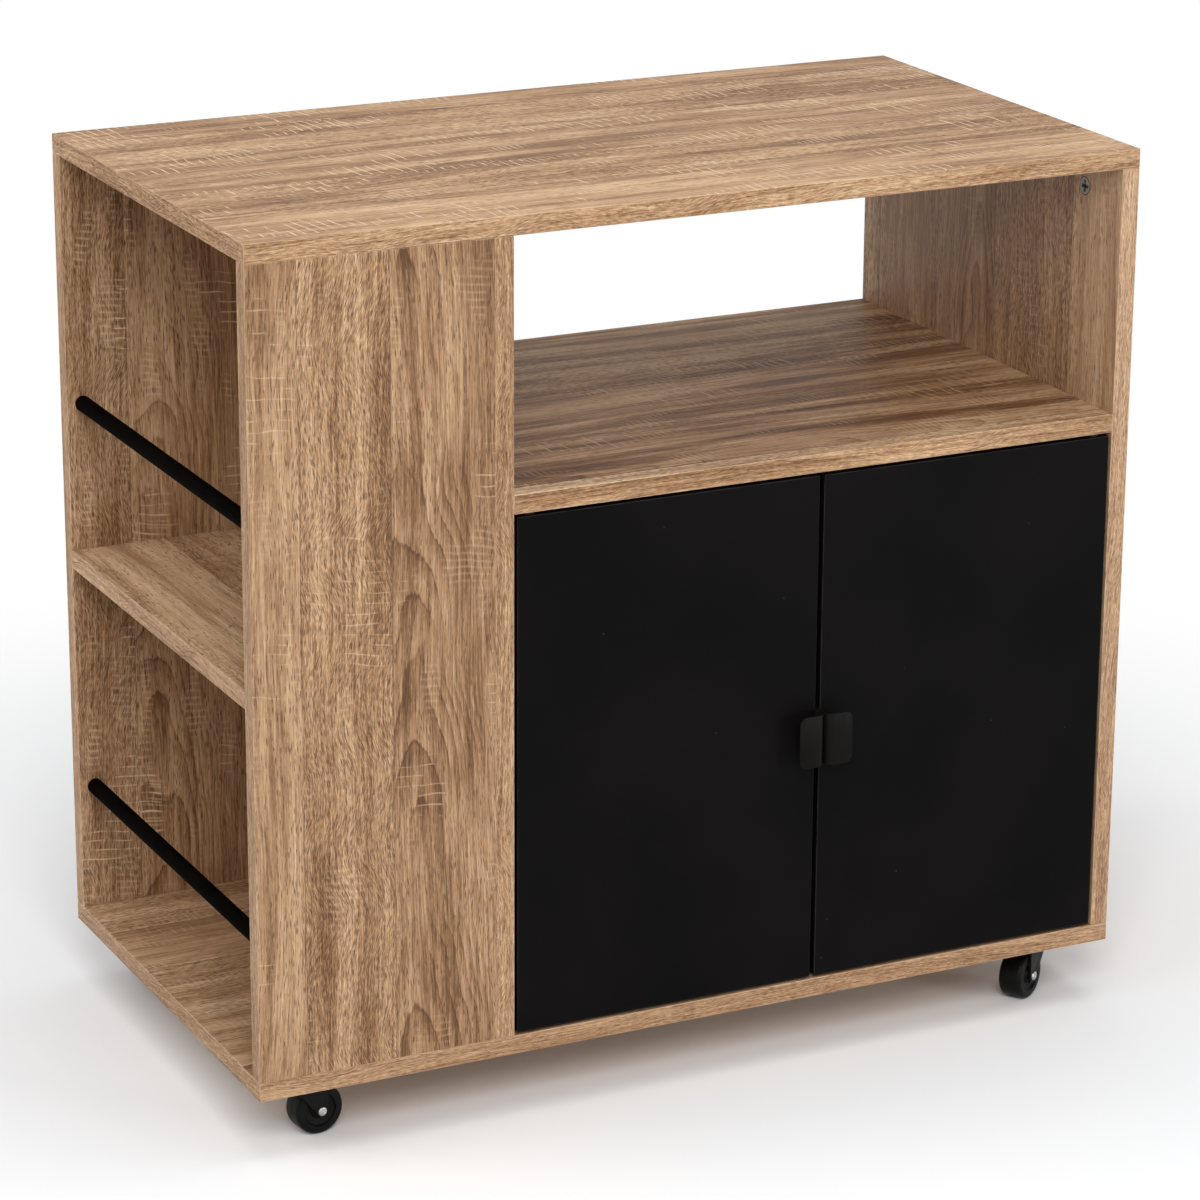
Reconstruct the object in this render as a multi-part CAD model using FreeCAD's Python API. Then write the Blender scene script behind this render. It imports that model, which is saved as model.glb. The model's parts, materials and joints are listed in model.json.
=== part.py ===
import FreeCAD
import Part
import math
import os

# Kitchen cart in edge-banded board: a two-door cabinet under an open niche, a side bay that
# opens to the left with a shelf and two steel rods, and four swivelling casters.
# All values are millimetres. X runs to the right, Y from the front to the back, Z up.
# The origin is on the floor, at the centre of the box that holds the whole cart.

# Driving sizes of the carcass
width = 740.0
depth = 400.0
board = 15.0
upright_height = 626.0
bay_width = 194.0
niche_height = 195.0
lower_bay_height = 291.0
edge_chamfer = 0.5

# Pins and bores that nothing shows are drawn with few flats, small ones that show with more
hidden_flat_count = 8
shown_flat_count = 16

# Fits: slip is the play of a fixed pin in its hole, run that of a turning one
slip = 0.05
run = 0.08
face_gap = 0.3
overrun = 1.0

# Cabinet back, held in grooves
back_sheet = 3.0
back_groove = 6.0
back_inset = 13.0

# Loose shelf in the cabinet, on four pins
shelf_height = 205.0
shelf_setback = 44.0
shelf_side_play = 1.0
shelf_pin_radius = 2.5
shelf_pin_in = 8.0
shelf_pin_out = 9.0
shelf_pin_inset = 70.0

# Cam fittings: a bolt in the face of one board, a cam in the other
cam_radius = 7.5
cam_height = 12.4
cam_reach = 24.0
cam_inset = 54.0
cam_cross = 9.0
cam_cross_width = 1.7
cam_cross_depth = 2.4
bolt_radius = 3.0
bolt_thread = 10.0
bolt_play = 0.5
bolt_past_centre = 2.0

# Wooden dowels
dowel_radius = 4.0
dowel_in_face = 10.0
dowel_in_end = 20.0
dowel_offset = 32.0

# Long screws, their heads level with the face that they enter
long_screw_head_radius = 4.8
long_screw_head = 3.5
long_screw_radius = 3.0
long_screw_length = 50.0
long_screw_inset = 60.0

# Steel rods of the side bay
rod_radius = 6.35
rod_seat = 8.0
rod_inset = 13.2
upper_rod_height = 120.0
lower_rod_height = 104.0

# Doors
door_gap = 2.5
meeting_gap = 4.0
pivot_inset = 12.0
pivot_radius = 2.5
pivot_in_board = 10.0
pivot_in_door = 14.0
pivot_collar_radius = 5.5

# Sheet steel pull on the meeting edge of each door
pull_sheet = 1.2
pull_height = 42.0
pull_standoff = 15.0
pull_reach = 23.0
pull_bend = 6.0
pull_corner = 6.0
pull_foot = 18.0
pull_foot_corner = 3.0
pull_centre_height = 202.0

# Magnetic catch under the niche shelf
catch_width = 64.0
catch_depth = 17.0
catch_height = 13.0
catch_chamfer = 1.2
catch_gap = 0.4
magnet_width = 15.0
magnet_height = 8.0
magnet_depth = 5.0
magnet_proud = 0.5
magnet_offset = 17.0
strike_sheet = 1.2
strike_width = 22.0
strike_height = 12.0
strike_corner = 2.5

# Casters
caster_height = 52.0
caster_side_inset = 48.0
caster_end_inset = 42.0
caster_plate = 2.0
caster_plate_side = 42.0
caster_plate_corner = 4.0
race_radius = 12.0
race_height = 4.2
kingpin_radius = 3.0
kingpin_head_radius = 5.5
kingpin_head = 2.0
fork_sheet = 2.0
fork_bend = 1.5
fork_inside = 21.4
fork_length = 28.0
fork_corner = 5.0
fork_leg_end = 5.2
trail = 13.0
wheel_radius = 20.0
wheel_width = 20.4
axle_radius = 3.0
axle_end = 1.2

# Places worked out from the sizes above
left = -width / 2
right = width / 2
front = (pull_standoff - depth) / 2
back = front + depth
divider_left = left + bay_width
divider_right = divider_left + board
right_inner = right - board
carcass_bottom = caster_height
bottom_face = carcass_bottom + board
top_face = bottom_face + upright_height
carcass_top = top_face + board
niche_floor = top_face - niche_height
cabinet_ceiling = niche_floor - board
bay_shelf_bottom = bottom_face + lower_bay_height
bay_shelf_top = bay_shelf_bottom + board
bay_back_inner = back - board
bay_front_inner = front + board
door_bottom = bottom_face + door_gap
door_top = cabinet_ceiling - door_gap
meeting_x = (divider_right + right_inner) / 2
back_sheet_front = back - back_inset - back_sheet
pivot_y = front + board / 2
pull_z = door_bottom + pull_centre_height
catch_z = cabinet_ceiling - catch_height / 2
crown_top = carcass_bottom - caster_plate - race_height - face_gap
cam_rows = (front + cam_inset, back - cam_inset)
dowel_rows = (front + cam_inset + dowel_offset, back - cam_inset - dowel_offset)

X = FreeCAD.Vector(1, 0, 0)
Y = FreeCAD.Vector(0, 1, 0)
Z = FreeCAD.Vector(0, 0, 1)

# What is cut out of each board, and what joins them, is gathered while the joints are laid out
cuts = {}
fittings = {}


def place(x, y, z):
    return FreeCAD.Vector(x, y, z)


def block(x0, x1, y0, y1, z0, z1):
    return Part.makeBox(x1 - x0, y1 - y0, z1 - z0, place(x0, y0, z0))


def rod(start, along, length, radius):
    return Part.makeCylinder(radius, length, start, along)


def prism(start, along, length, radius, flats):
    # A round form drawn with flats; its corners lie on the radius
    side = Y if abs(along.dot(X)) > abs(along.dot(Y)) else X
    other = along.cross(side)
    corners = []
    for turn in range(flats + 1):
        angle = 2 * math.pi * turn / flats
        corners.append(start + side * (radius * math.cos(angle)) + other * (radius * math.sin(angle)))
    return Part.Face(Part.makePolygon(corners)).extrude(along * length)


def pin(start, along, length, radius):
    return prism(start, along, length, radius, hidden_flat_count)


def bore(start, along, length, radius):
    # A round hole for a turning pin, drawn with flats that touch its circle from outside
    return prism(start, along, length, radius / math.cos(math.pi / shown_flat_count), shown_flat_count)


def panel(x0, x1, y0, y1, z0, z1):
    # A board with the sharp edges taken off its edge band
    solid = block(x0, x1, y0, y1, z0, z1)
    return solid.makeChamfer(edge_chamfer, solid.Edges)


def cut_from(board_name, solid):
    cuts.setdefault(board_name, []).append(solid)


def add_fitting(node, solid):
    fittings.setdefault(node, []).append(solid)


def drilled(board_name, solid):
    tools = cuts.get(board_name, [])
    if tools:
        solid = solid.cut(tools)
    return solid


def cam_joint(end_board, face_board, point, along, out):
    # point is where the bolt crosses from the face board into the end board, along runs into
    # the end board, and out points from the middle of the end board to the face with the cam
    mouth = point + along * cam_reach + out * (board / 2)
    channel_radius = bolt_radius + bolt_play
    bolt_length = cam_reach + bolt_past_centre
    slot_start = point + out * channel_radius
    slot = slot_box(slot_start, along, -out, bolt_length + bolt_play, cam_height, 2 * channel_radius)
    cross = cross_recess(mouth, out, along)
    cam = prism(mouth, -out, cam_height, cam_radius, shown_flat_count)
    add_fitting("cam_locks", cam.cut([slot] + cross))
    add_fitting("cam_bolts", pin(point - along * bolt_thread, along, bolt_thread + bolt_length, bolt_radius))
    cut_from(end_board, prism(mouth + out * overrun, -out, cam_height + overrun + slip, cam_radius + slip,
                              shown_flat_count))
    cut_from(end_board, pin(point - along * overrun, along, cam_reach + overrun, channel_radius))
    cut_from(face_board, pin(point + along * overrun, -along, bolt_thread + overrun + slip,
                             bolt_radius + slip))


def slot_box(start, along, down, length, deep, wide):
    # A straight slot that runs along from its start, as deep as given and centred on its width
    across = along.cross(down)
    corner = start - across * (wide / 2)
    corners = [corner, corner + along * length, corner + along * length + across * wide,
               corner + across * wide, corner]
    return Part.Face(Part.makePolygon(corners)).extrude(down * deep)


def cross_recess(mouth, out, along):
    # Two crossed slots for a screwdriver
    top = mouth + out * overrun
    deep = cam_cross_depth + overrun
    across = along.cross(out)
    return [slot_box(top - way * (cam_cross / 2), way, -out, cam_cross, deep, cam_cross_width)
            for way in (along, across)]


def dowel_joint(end_board, face_board, point, along):
    add_fitting("dowels", pin(point - along * dowel_in_face, along, dowel_in_face + dowel_in_end,
                              dowel_radius))
    hole = dowel_radius + slip
    cut_from(face_board, pin(point + along * overrun, -along, dowel_in_face + overrun + slip, hole))
    cut_from(end_board, pin(point - along * overrun, along, dowel_in_end + overrun + slip, hole))


def long_screw_joint(through_board, end_board, point, along):
    # point is on the face where the flat head ends up level
    head = pin(point, along, long_screw_head, long_screw_head_radius)
    shank = pin(point, along, long_screw_length, long_screw_radius)
    add_fitting("long_screws", head.fuse(shank).removeSplitter())
    mouth = point - along * overrun
    head_seat = long_screw_head + overrun + slip
    hole = pin(mouth, along, long_screw_length + overrun + slip, long_screw_radius + slip)
    cut_from(through_board, pin(mouth, along, head_seat, long_screw_head_radius + slip))
    cut_from(through_board, hole)
    cut_from(end_board, hole)


def lay_out_joints():
    lay_out_upright_joints()
    lay_out_niche_shelf_joints()
    lay_out_bay_joints()


def lay_out_upright_joints():
    # Cams and a dowel at the top of each upright, long screws from below at its foot
    middle_y = (front + back) / 2
    uprights = (("right_panel", right - board / 2, -X), ("divider_panel", divider_left + board / 2, X))
    for name, x, inward in uprights:
        for y in cam_rows:
            cam_joint(name, "top_panel", place(x, y, top_face), -Z, inward)
            long_screw_joint("bottom_panel", name, place(x, y, carcass_bottom), Z)
        dowel_joint(name, "top_panel", place(x, middle_y, top_face), -Z)
        dowel_joint(name, "bottom_panel", place(x, middle_y, bottom_face), Z)


def lay_out_niche_shelf_joints():
    # The niche shelf hangs between the uprights on cams set in its underside
    z = niche_floor - board / 2
    for name, x, along in (("right_panel", right_inner, -X), ("divider_panel", divider_right, X)):
        for y in cam_rows:
            cam_joint("niche_shelf", name, place(x, y, z), along, -Z)
        for y in dowel_rows:
            dowel_joint("niche_shelf", name, place(x, y, z), along)


def lay_out_bay_joints():
    # The bay boards are doweled to the top, the bottom and their shelf, and screwed to the divider
    x = left + bay_width / 2
    z = bay_shelf_bottom + board / 2
    screw_rows = (bottom_face + long_screw_inset, top_face - long_screw_inset)
    boards = (("bay_front_board", front + board / 2, Y), ("bay_back_board", back - board / 2, -Y))
    for name, y, inward in boards:
        dowel_joint(name, "top_panel", place(x, y, top_face), -Z)
        dowel_joint("bay_shelf", name, place(x, y + inward.y * board / 2, z), inward)
        long_screw_joint("bottom_panel", name, place(x, y, carcass_bottom), Z)
        for screw_z in screw_rows:
            long_screw_joint("divider_panel", name, place(divider_right, y, screw_z), -X)
    long_screw_joint("divider_panel", "bay_shelf", place(divider_right, (front + back) / 2, z), -X)


def cut_back_grooves():
    y0 = back_sheet_front - slip
    y1 = y0 + back_sheet + 2 * slip
    deep = back_groove + slip
    high = cabinet_ceiling + deep
    cut_from("divider_panel", block(divider_right - deep, divider_right + overrun, y0, y1,
                                    bottom_face - overrun, high))
    cut_from("right_panel", block(right_inner - overrun, right_inner + deep, y0, y1,
                                  bottom_face - overrun, high))
    cut_from("bottom_panel", block(divider_right - deep, right_inner + deep, y0, y1,
                                   bottom_face - deep, bottom_face + overrun))
    cut_from("niche_shelf", block(divider_right - overrun, right_inner + overrun, y0, y1,
                                  cabinet_ceiling - overrun, high))


def cabinet_back():
    return block(divider_right - back_groove, right_inner + back_groove,
                 back_sheet_front, back_sheet_front + back_sheet,
                 bottom_face - back_groove, cabinet_ceiling + back_groove)


def cabinet_shelf():
    bottom = bottom_face + shelf_height
    return panel(divider_right + shelf_side_play, right_inner - shelf_side_play,
                 front + shelf_setback, back_sheet_front - shelf_side_play, bottom, bottom + board)


def lay_out_shelf_pins():
    z = bottom_face + shelf_height - shelf_pin_radius - slip
    rows = (front + shelf_setback + shelf_pin_inset, back_sheet_front - shelf_side_play - shelf_pin_inset)
    for name, face, out in (("divider_panel", divider_right, X), ("right_panel", right_inner, -X)):
        for y in rows:
            add_fitting("shelf_pins", pin(place(face, y, z) - out * shelf_pin_in, out,
                                          shelf_pin_in + shelf_pin_out, shelf_pin_radius))
            cut_from(name, pin(place(face, y, z) + out * overrun, -out, shelf_pin_in + overrun + slip,
                               shelf_pin_radius + slip))


def towel_rod(height):
    # A steel rod between the two bay boards, its ends in blind holes
    length = depth - 2 * board + 2 * rod_seat
    return rod(place(left + rod_inset, bay_front_inner - rod_seat, height), Y, length, rod_radius)


def cut_rod_seats(height):
    mouths = (("bay_front_board", bay_front_inner, Y), ("bay_back_board", bay_back_inner, -Y))
    for name, mouth, out in mouths:
        start = place(left + rod_inset, mouth, height) + out * overrun
        cut_from(name, rod(start, -out, rod_seat + overrun + slip, rod_radius + slip))


def pivot_x(side):
    # side is -1 for the left door and 1 for the right one
    if side < 0:
        return divider_right + door_gap + pivot_inset
    return right_inner - door_gap - pivot_inset


def door(side):
    hinge_edge = pivot_x(side) + side * pivot_inset
    meeting_edge = meeting_x + side * meeting_gap / 2
    low, high = sorted((hinge_edge, meeting_edge))
    solid = panel(low, high, front, front + board, door_bottom, door_top)
    deep = pivot_in_door + face_gap + overrun
    lower = bore(place(pivot_x(side), pivot_y, door_bottom - overrun), Z, deep, pivot_radius + run)
    upper = bore(place(pivot_x(side), pivot_y, door_top + overrun), -Z, deep, pivot_radius + run)
    return solid.cut([lower, upper])


def lay_out_pivots():
    # Each door turns on two pins fixed in the boards; their collars keep it off the boards
    faces = ((bottom_face, Z, "bottom_panel"), (cabinet_ceiling, -Z, "niche_shelf"))
    collar_height = door_gap - face_gap
    for x in (pivot_x(-1), pivot_x(1)):
        for face_z, along, board_name in faces:
            face = place(x, pivot_y, face_z)
            foot = pin(face - along * pivot_in_board, along, pivot_in_board + collar_height, pivot_radius)
            collar = pin(face, along, collar_height, pivot_collar_radius)
            stub = prism(face + along * collar_height, along, face_gap + pivot_in_door, pivot_radius,
                         shown_flat_count)
            add_fitting("door_pivot_pins", stub.fuse([foot, collar]).removeSplitter())
            cut_from(board_name, pin(face + along * overrun, -along, pivot_in_board + overrun + slip,
                                     pivot_radius + slip))


def door_pull(side):
    # Bent sheet: a foot behind the door, a web through the meeting gap, a flange in front
    edge = meeting_x + side * meeting_gap / 2
    web = edge - side * pull_sheet
    tip = meeting_x + side * pull_reach
    foot_tip = edge + side * pull_foot
    y_out = front - pull_standoff
    y_in = y_out + pull_sheet
    y_door = front + board
    y_foot = y_door + pull_sheet
    z = pull_z - pull_height / 2
    outline = [(tip, y_out), (web, y_out), (web, y_foot), (foot_tip, y_foot),
               (foot_tip, y_door), (edge, y_door), (edge, y_in), (tip, y_in), (tip, y_out)]
    wire = Part.makePolygon([place(x, y, z) for x, y in outline])
    sheet = Part.Face(wire).extrude(Z * pull_height)
    sheet = round_upright(sheet, web, y_out, pull_bend)
    sheet = round_upright(sheet, edge, y_in, pull_bend - pull_sheet)
    sheet = round_upright(sheet, web, y_foot, pull_sheet)
    sheet = round_across(sheet, tip, pull_corner)
    return round_across(sheet, foot_tip, pull_foot_corner)


def round_upright(solid, x, y, radius):
    edges = [edge for edge in solid.Edges
             if abs(edge.Vertexes[0].X - x) < slip and abs(edge.Vertexes[-1].X - x) < slip
             and abs(edge.Vertexes[0].Y - y) < slip and abs(edge.Vertexes[-1].Y - y) < slip]
    return solid.makeFillet(radius, edges)


def round_across(solid, x, radius):
    edges = [edge for edge in solid.Edges
             if abs(edge.Vertexes[0].X - x) < slip and abs(edge.Vertexes[-1].X - x) < slip
             and abs(edge.Vertexes[0].Z - edge.Vertexes[-1].Z) < slip]
    return solid.makeFillet(radius, edges)


def strike(side):
    x = meeting_x + side * magnet_offset
    y = front + board
    plate = block(x - strike_width / 2, x + strike_width / 2, y, y + strike_sheet,
                  catch_z - strike_height / 2, catch_z + strike_height / 2)
    corners = [edge for edge in plate.Edges if abs(edge.Vertexes[0].Y - edge.Vertexes[-1].Y) > slip]
    return plate.makeChamfer(strike_corner, corners)


def lay_out_catch():
    # Housing under the niche shelf, with one magnet for each door
    y0 = front + board + strike_sheet + catch_gap + magnet_proud
    x0 = meeting_x - catch_width / 2
    housing = block(x0, x0 + catch_width, y0, y0 + catch_depth,
                    cabinet_ceiling - catch_height, cabinet_ceiling)
    lower = [edge for edge in housing.Edges if edge.BoundBox.ZMax < cabinet_ceiling - slip]
    housing = housing.makeChamfer(catch_chamfer, lower)
    y1 = y0 - magnet_proud + magnet_depth
    z0 = catch_z - magnet_height / 2
    z1 = catch_z + magnet_height / 2
    pockets = []
    for side in (-1, 1):
        m0 = meeting_x + side * magnet_offset - magnet_width / 2
        m1 = m0 + magnet_width
        add_fitting("catch_magnets", block(m0, m1, y0 - magnet_proud, y1, z0, z1))
        pockets.append(block(m0 - slip, m1 + slip, y0 - overrun, y1 + slip, z0 - slip, z1 + slip))
    add_fitting("catch_housing", housing.cut(pockets))


def caster_places():
    # The turn of each fork is the direction in which its wheel trails
    x0 = left + caster_side_inset
    x1 = right - caster_side_inset
    y0 = front + caster_end_inset
    y1 = back - caster_end_inset
    return (("front_left", x0, y0, 7), ("front_right", x1, y0, 212),
            ("rear_left", x0, y1, 24), ("rear_right", x1, y1, 64))


def caster_plate_solid(x, y):
    # The plate with its race and the kingpin riveted into it
    half = caster_plate_side / 2
    z0 = carcass_bottom - caster_plate
    plate = block(x - half, x + half, y - half, y + half, z0, carcass_bottom)
    corners = [edge for edge in plate.Edges if abs(edge.Vertexes[0].Z - edge.Vertexes[-1].Z) > slip]
    plate = plate.makeChamfer(caster_plate_corner, corners)
    race = prism(place(x, y, z0), -Z, race_height, race_radius, shown_flat_count)
    head_top = crown_top - fork_sheet - face_gap
    shank = prism(place(x, y, z0), -Z, z0 - head_top, kingpin_radius, shown_flat_count)
    head = prism(place(x, y, head_top), -Z, kingpin_head, kingpin_head_radius, shown_flat_count)
    return plate.fuse([race, shank, head]).removeSplitter()


def fork():
    # Drawn with its swivel axis on Z and its wheel trailing along X, then turned and moved
    half = fork_inside / 2 + fork_sheet
    leg_back = trail + fork_leg_end
    leg_front = leg_back - fork_length
    low = wheel_radius - fork_leg_end
    outline = [(leg_front, crown_top), (leg_front, crown_top - fork_sheet - fork_bend),
               (trail - fork_leg_end, wheel_radius), (trail - fork_leg_end / 2, low),
               (leg_back, low), (leg_back, crown_top), (leg_front, crown_top)]
    wire = Part.makePolygon([place(x, -half, z) for x, z in outline])
    shell = Part.Face(wire).extrude(Y * (2 * half))
    corners = [edge for edge in shell.Edges
               if edge.BoundBox.XMax < leg_front + slip and edge.BoundBox.ZLength > fork_bend]
    shell = shell.makeChamfer(fork_corner, corners)
    bends = [edge for edge in shell.Edges
             if edge.BoundBox.ZMin > crown_top - slip and edge.BoundBox.XLength > fork_corner + slip]
    shell = shell.makeChamfer(fork_bend, bends)
    inside = block(leg_front - overrun, leg_back + overrun, -fork_inside / 2, fork_inside / 2,
                   low - overrun, crown_top - fork_sheet)
    king_hole = bore(place(0, 0, crown_top - fork_sheet - overrun), Z, fork_sheet + 2 * overrun,
                     kingpin_radius + run)
    axle_hole = bore(place(trail, -half - overrun, wheel_radius), Y, 2 * (half + overrun),
                     axle_radius + slip)
    return shell.cut([inside, king_hole, axle_hole])


def axle():
    half = fork_inside / 2 + fork_sheet + axle_end
    return rod(place(trail, -half, wheel_radius), Y, 2 * half, axle_radius)


def wheel():
    start = place(trail, -wheel_width / 2, wheel_radius)
    through = bore(start - Y * overrun, Y, wheel_width + 2 * overrun, axle_radius + run)
    return rod(start, Y, wheel_width, wheel_radius).cut(through)


def turned(solid, x, y, angle):
    copy = solid.copy()
    copy.rotate(place(0, 0, 0), Z, angle)
    copy.translate(place(x, y, 0))
    return copy


def lay_out_casters():
    moving = {"fork": fork(), "wheel": wheel(), "axle": axle()}
    for name, x, y, angle in caster_places():
        add_fitting("caster_plates", caster_plate_solid(x, y))
        for piece, solid in moving.items():
            add_fitting("caster_%s_%s" % (name, piece), turned(solid, x, y, angle))


def carcass():
    return {
        "top_panel": panel(left, right, front, back, top_face, carcass_top),
        "bottom_panel": panel(left, right, front, back, carcass_bottom, bottom_face),
        "right_panel": panel(right_inner, right, front, back, bottom_face, top_face),
        "divider_panel": panel(divider_left, divider_right, front, back, bottom_face, top_face),
        "bay_front_board": panel(left, divider_left, front, bay_front_inner, bottom_face, top_face),
        "bay_back_board": panel(left, divider_left, bay_back_inner, back, bottom_face, top_face),
        "bay_shelf": panel(left, divider_left, bay_front_inner, bay_back_inner,
                           bay_shelf_bottom, bay_shelf_top),
        "niche_shelf": panel(divider_right, right_inner, front, back, cabinet_ceiling, niche_floor),
    }


def build():
    upper_rod_z = bay_shelf_top + upper_rod_height
    lower_rod_z = bottom_face + lower_rod_height
    lay_out_joints()
    cut_back_grooves()
    lay_out_shelf_pins()
    cut_rod_seats(upper_rod_z)
    cut_rod_seats(lower_rod_z)
    lay_out_pivots()
    lay_out_catch()
    lay_out_casters()
    nodes = {name: drilled(name, solid) for name, solid in carcass().items()}
    nodes["cabinet_back"] = cabinet_back()
    nodes["cabinet_shelf"] = cabinet_shelf()
    nodes["upper_rod"] = towel_rod(upper_rod_z)
    nodes["lower_rod"] = towel_rod(lower_rod_z)
    for side, name in ((-1, "left"), (1, "right")):
        nodes[name + "_door"] = door(side)
        nodes[name + "_pull"] = door_pull(side)
        nodes[name + "_strike"] = strike(side)
    for name, solids in fittings.items():
        nodes[name] = solids[0] if len(solids) == 1 else Part.makeCompound(solids)
    return nodes


os.makedirs("parts", exist_ok=True)
for node, shape in build().items():
    shape.exportStep("parts/%s.step" % node)
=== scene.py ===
import json
import math

import bmesh
import bpy
from mathutils import Matrix, Vector


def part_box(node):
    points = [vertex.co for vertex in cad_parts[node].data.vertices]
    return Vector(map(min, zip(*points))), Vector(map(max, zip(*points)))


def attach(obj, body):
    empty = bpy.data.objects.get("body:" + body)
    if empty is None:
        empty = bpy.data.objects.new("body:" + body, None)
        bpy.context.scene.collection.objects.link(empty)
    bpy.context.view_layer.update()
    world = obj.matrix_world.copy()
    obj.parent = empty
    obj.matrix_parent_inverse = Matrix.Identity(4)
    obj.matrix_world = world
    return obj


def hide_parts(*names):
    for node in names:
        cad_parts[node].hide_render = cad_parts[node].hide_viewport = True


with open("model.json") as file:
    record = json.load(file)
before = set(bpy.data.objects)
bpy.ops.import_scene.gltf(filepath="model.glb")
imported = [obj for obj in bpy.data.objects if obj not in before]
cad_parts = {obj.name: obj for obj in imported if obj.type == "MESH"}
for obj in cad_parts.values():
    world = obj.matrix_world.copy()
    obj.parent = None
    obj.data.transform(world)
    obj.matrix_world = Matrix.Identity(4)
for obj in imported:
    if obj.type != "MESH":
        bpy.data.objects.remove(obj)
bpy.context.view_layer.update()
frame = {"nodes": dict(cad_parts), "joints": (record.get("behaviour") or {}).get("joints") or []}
cart_nodes = frame["nodes"]
joints = {joint["name"]: joint for joint in frame["joints"]}
bpy.ops.object.select_all(action="DESELECT")


# The studio: a pale floor that runs out into white, soft lamps low at the front right, overhead, high
# at the front left and high at the left, and a pale room all round. Nothing of it belongs to the cart.
room_level = 0.4
floor_radius = 3.2
floor_clear_radius = 0.5
floor_white_radius = 1.2
lamp_aim = (0.0, 0.0, 0.35)
# name, place, side of its square, and how bright it lights a surface that is turned to it
lamps = (
    ("low_front_lamp", (1.7, -2.2, 0.4), 0.6, 0.21),
    ("overhead_lamp", (0.2, -0.4, 3.0), 2.2, 0.46),
    ("front_left_lamp", (-1.2, -2.8, 2.4), 1.4, 0.46),
    ("side_lamp", (-2.2, 0.3, 1.9), 1.2, 0.24),
)


def paint(red, green, blue):
    """A colour given as it shows on a screen, 0 to 255, in the linear form that shaders take."""
    shares = [value / 255 for value in (red, green, blue)]
    linear = [s / 12.92 if s <= 0.04045 else ((s + 0.055) / 1.055) ** 2.4 for s in shares]
    return (*linear, 1.0)


def add(tree, kind, sockets=None, **settings):
    """A node with its settings made and its sockets filled or linked."""
    node = tree.nodes.new("ShaderNode" + kind)
    for name, value in settings.items():
        setattr(node, name, value)
    for key, value in (sockets or {}).items():
        if isinstance(value, bpy.types.NodeSocket):
            tree.links.new(value, node.inputs[key])
        else:
            node.inputs[key].default_value = value
    return node


def reckon(tree, operation, first, second=0.0, third=0.0):
    node = add(tree, "Math", {0: first, 1: second, 2: third}, operation=operation)
    return node.outputs[0]


def ease(tree, value, low, high, start=0.0, end=1.0):
    """A soft step from start to end while value goes from low to high."""
    sockets = {"Value": value, "From Min": low, "From Max": high, "To Min": start, "To Max": end}
    return add(tree, "MapRange", sockets, interpolation_type="SMOOTHSTEP").outputs["Result"]


def tint(tree, factor, first, second, kind="MIX"):
    node = add(tree, "Mix", {0: factor, 6: first, 7: second}, data_type="RGBA", blend_type=kind)
    return node.outputs[2]


def mottle(tree, place, scale, detail):
    """Plain noise from 0 to 1, with about that many blotches to a metre."""
    return add(tree, "TexNoise", {"Vector": place, "Scale": scale, "Detail": detail}).outputs[0]


def seen_rays(tree):
    """One for the rays that look at the studio itself or see it mirrored, nought for its light."""
    rays = add(tree, "LightPath")
    glossy, through = rays.outputs["Is Glossy Ray"], rays.outputs["Is Transmission Ray"]
    return reckon(tree, "MAXIMUM", rays.outputs["Is Camera Ray"], reckon(tree, "MAXIMUM", glossy, through))


def light_room():
    room = bpy.data.worlds.new("studio_room")
    bpy.context.scene.world = room
    room.use_nodes = True
    tree = room.node_tree
    tree.nodes.clear()
    soft = add(tree, "Background", {"Color": paint(247, 250, 255), "Strength": room_level})
    white = add(tree, "Background", {"Color": paint(255, 255, 255), "Strength": 1.0})
    both = add(tree, "MixShader", {0: seen_rays(tree), 1: soft.outputs[0], 2: white.outputs[0]})
    add(tree, "OutputWorld", {"Surface": both.outputs[0]})


def lay_floor():
    bpy.ops.mesh.primitive_circle_add(vertices=96, radius=floor_radius, fill_type="NGON")
    floor = bpy.context.object
    floor.name = "studio_floor"
    finish = bpy.data.materials.new("pale_floor")
    finish.use_nodes = True
    tree = finish.node_tree
    tree.nodes.clear()
    place = add(tree, "TexCoord").outputs["Object"]
    far = add(tree, "VectorMath", {0: place}, operation="LENGTH").outputs["Value"]
    cloud = mottle(tree, place, 2.5, 3.0)
    pale = tint(tree, cloud, paint(247, 247, 247), paint(251, 251, 251))
    matt = add(tree, "BsdfDiffuse", {"Color": pale})
    white = add(tree, "Emission", {"Color": paint(255, 255, 255), "Strength": 1.0})
    run_out = ease(tree, far, floor_clear_radius, floor_white_radius)
    shown = reckon(tree, "MULTIPLY", run_out, seen_rays(tree))
    top = add(tree, "MixShader", {0: shown, 1: matt.outputs[0], 2: white.outputs[0]})
    clear = add(tree, "BsdfTransparent")
    below = add(tree, "NewGeometry").outputs["Backfacing"]
    both = add(tree, "MixShader", {0: below, 1: top.outputs[0], 2: clear.outputs[0]})
    add(tree, "OutputMaterial", {"Surface": both.outputs[0]})
    floor.data.materials.append(finish)


def hang_lamp(name, place, side, level):
    """A square lamp that lights a surface turned to it at the given level."""
    lamp = bpy.data.lights.new(name, "AREA")
    lamp.shape = "SQUARE"
    lamp.size = side
    way = Vector(lamp_aim) - Vector(place)
    lamp.energy = level * (math.pi * way.length) ** 2
    hung = bpy.data.objects.new(name, lamp)
    hung.location = place
    hung.rotation_euler = way.to_track_quat("-Z", "Y").to_euler()
    bpy.context.scene.collection.objects.link(hung)


light_room()
lay_floor()
for lamp_facts in lamps:
    hang_lamp(*lamp_facts)


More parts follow.
